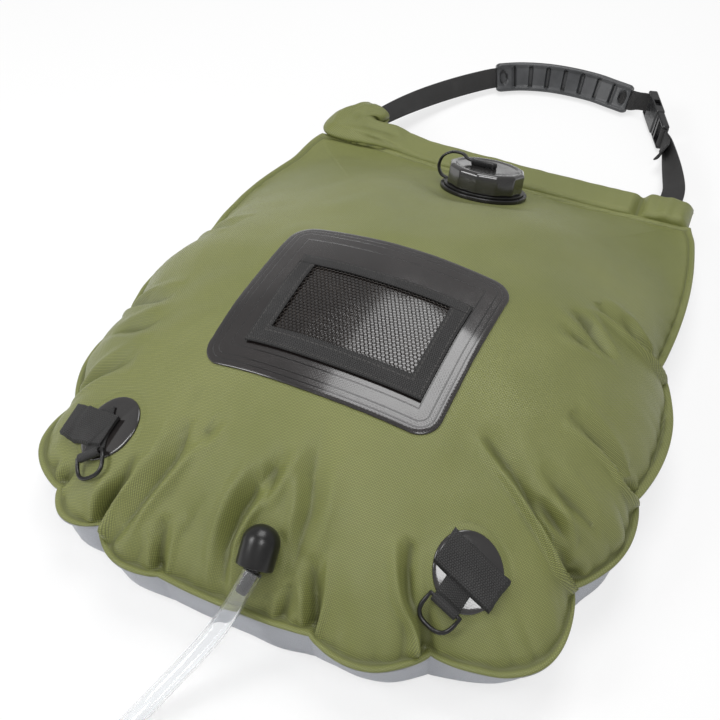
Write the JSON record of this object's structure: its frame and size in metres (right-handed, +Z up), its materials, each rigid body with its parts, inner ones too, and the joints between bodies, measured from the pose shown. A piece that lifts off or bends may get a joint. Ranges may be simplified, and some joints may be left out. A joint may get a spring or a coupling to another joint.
{
  "type": "camp shower bag",
  "caption": "Filled camp shower bag of coated fabric with a screw filler cap, mesh pocket, D-rings, buckled carry handle with grip, outlet elbow, clear hose and shower head.",
  "frame": {"origin": "centre of the flat underside of the back panel, on the surface the bag lies on", "axes": "+X across the bag to the buckle's side, +Y from the outlet towards the carry handle, +Z up out of the front panel"},
  "size_m": [0.4239, 0.9587, 0.1334],
  "materials": {
    "olive_fabric": "coated oxford weave with a soft sheen",
    "grey_fabric": "smooth coated fabric",
    "webbing": "woven webbing",
    "netting": "open mesh",
    "dark_vinyl": "glossy vinyl",
    "black_plastic": "moulded, semi-gloss",
    "grip_rubber": "moulded, satin",
    "soft_rubber": "moulded rubber",
    "clear_hose": "clear flexible vinyl tube"
  },
  "bodies": {
    "bag": {"front_panel": "olive_fabric", "back_panel": "grey_fabric", "top_sleeve": "olive_fabric", "sleeve_webbing": "webbing", "filler_neck": "black_plastic", "cap_tether": "soft_rubber", "pocket_patch": "dark_vinyl", "pocket_mesh": "netting", "pocket_binding": "webbing", "pocket_hem": "webbing", "ring_disc_left": "dark_vinyl", "ring_disc_right": "dark_vinyl", "ring_tab_left": "webbing", "ring_tab_right": "webbing", "ring_band_left": "webbing", "ring_band_right": "webbing", "outlet_elbow": "soft_rubber", "outlet_barb": "black_plastic", "hose": "clear_hose", "hose_coil": "clear_hose", "hose_nut": "black_plastic", "valve_stem": "black_plastic"},
    "cap_carrier": {"tether_button": "soft_rubber"},
    "cap": {"filler_cap": "black_plastic", "cap_gasket": "soft_rubber"},
    "handle": {"handle_webbing": "webbing", "grip": "grip_rubber", "buckle_socket": "black_plastic"},
    "buckle_tongue": {"buckle_tongue": "black_plastic", "short_webbing": "webbing", "webbing_tail": "webbing"},
    "prong_upper": {"prong_upper": "black_plastic"},
    "prong_lower": {"prong_lower": "black_plastic"},
    "ring_left": {"d_ring_left": "black_plastic"},
    "ring_right": {"d_ring_right": "black_plastic"},
    "rose": {"rose_body": "black_plastic", "rose_face": "black_plastic"}
  },
  "joints": [
    {"name": "cap_lift", "type": "slide", "parent": "bag", "child": "cap_carrier", "axis": [0, 0.3746, 0.9272], "range_m": [0, 0.0101], "deforming": ["cap_tether"]},
    {"name": "cap_turn", "type": "hinge", "parent": "cap_carrier", "child": "cap", "pos_m": [0, 0.18706, 0.0596], "axis": [0, 0.3746, 0.9272], "range_deg": [0, 900]},
    {"name": "handle_swing", "type": "hinge", "parent": "bag", "child": "handle", "pos_m": [0, 0.2724, 0.02525], "axis": [1, 0, 0], "range_deg": [0, 90]},
    {"name": "buckle_release", "type": "slide", "parent": "handle", "child": "buckle_tongue", "axis": [0.3811, -0.9245, 0], "range_m": [0, 0.024], "deforming": ["short_webbing", "prong_upper", "prong_lower"]},
    {"name": "prong_squeeze_upper", "type": "hinge", "parent": "buckle_tongue", "child": "prong_upper", "pos_m": [0.11273, 0.41483, 0.02336], "axis": [-0.9195, -0.379, 0.1045], "range_deg": [0, 9], "stiffness_Nm_per_rad": 0.5},
    {"name": "prong_squeeze_lower", "type": "hinge", "parent": "buckle_tongue", "child": "prong_lower", "pos_m": [0.11121, 0.4142, 0.00764], "axis": [-0.9195, -0.379, 0.1045], "range_deg": [-9, 0], "stiffness_Nm_per_rad": 0.5},
    {"name": "ring_swing_left", "type": "hinge", "parent": "bag", "child": "ring_left", "pos_m": [-0.14586, -0.20746, 0.06722], "axis": [-0.7992, -0.2292, -0.5557], "range_deg": [0, 130]},
    {"name": "ring_swing_right", "type": "hinge", "parent": "bag", "child": "ring_right", "pos_m": [0.10748, -0.22684, 0.06461], "axis": [-0.9044, 0.2939, 0.3094], "range_deg": [0, 130]},
    {"name": "shower_valve", "type": "slide", "parent": "bag", "child": "rose", "axis": [1, 0, 0], "range_m": [0, 0.006]}
  ],
  "couplings": [
    {"joint": "cap_lift", "follows": "cap_turn", "m_per_rad": 0.00063662},
    {"joint": "prong_squeeze_lower", "follows": "prong_squeeze_upper", "ratio": -1}
  ]
}
